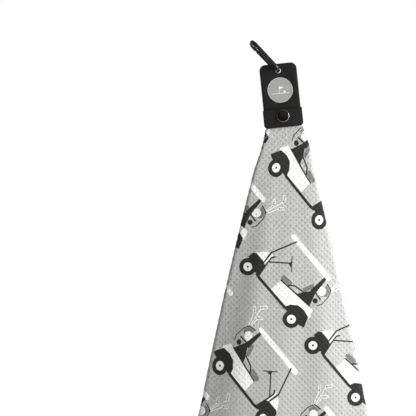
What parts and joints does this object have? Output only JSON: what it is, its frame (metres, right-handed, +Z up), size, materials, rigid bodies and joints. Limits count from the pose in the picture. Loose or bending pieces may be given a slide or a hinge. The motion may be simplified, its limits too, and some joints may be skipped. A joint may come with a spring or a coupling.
{
  "type": "golf towel",
  "caption": "Printed waffle golf towel hung by one corner from a magnetic snap tag, with a small carabiner through the tag's hole.",
  "frame": {"origin": "middle of the magnet's contact pad, on the tag's back", "axes": "+Y out of the magnet's contact pad, towards the steel it holds to; +Z up, the towel hangs along -Z; the tag's front faces -Y"},
  "size_m": [0.2464, 0.0259, 0.6594],
  "materials": {
    "black_silicone": "matte",
    "magnet_plating": "satin",
    "keeper_steel": "satin",
    "grey_disc": "satin",
    "gunmetal": "gloss",
    "snap_brass": "satin",
    "black_anodised": "satin",
    "spring_steel": "satin",
    "waffle_cloth": "matte"
  },
  "bodies": {
    "tag": {"back_plate": "black_silicone", "flap_hinge_strip": "black_silicone", "magnet": "magnet_plating", "steel_keeper": "keeper_steel", "disc_face": "grey_disc", "snap_stud": "snap_brass", "snap_post": "snap_brass", "towel_corner": "waffle_cloth"},
    "flap": {"front_flap": "black_silicone", "snap_cap": "gunmetal", "snap_socket": "snap_brass", "socket_ring": "spring_steel"},
    "carabiner": {"carabiner_frame": "black_anodised", "gate_hinge_rivet": "spring_steel"},
    "gate": {"carabiner_gate": "black_anodised", "gate_latch_pin": "black_anodised", "gate_plunger": "spring_steel", "gate_spring": "spring_steel"},
    "towel": {"towel_cloth": "waffle_cloth"}
  },
  "joints": [
    {"name": "carabiner_swing", "type": "hinge", "parent": "tag", "child": "carabiner", "pos_m": [-0.00263, -0.0035, 0.02506], "axis": [0, 1, 0], "range_deg": [-23, 97]},
    {"name": "gate_hinge", "type": "hinge", "parent": "carabiner", "child": "gate", "pos_m": [-0.01063, 0.00569, 0.03151], "axis": [0.7223, 0.1564, 0.6736], "range_deg": [0, 25], "stiffness_Nm_per_rad": 0.02, "springref_deg": -28.65},
    {"name": "flap_hinge", "type": "hinge", "parent": "tag", "child": "flap", "pos_m": [0.00265, -0.009, -0.02521], "axis": [-0.9945, 0, -0.1045], "range_deg": [0, 75]},
    {"name": "towel_swing", "type": "hinge", "parent": "tag", "child": "towel", "pos_m": [0.00516, -0.00495, -0.04913], "axis": [0.9945, 0, 0.1045], "range_deg": [-50, 50]}
  ]
}
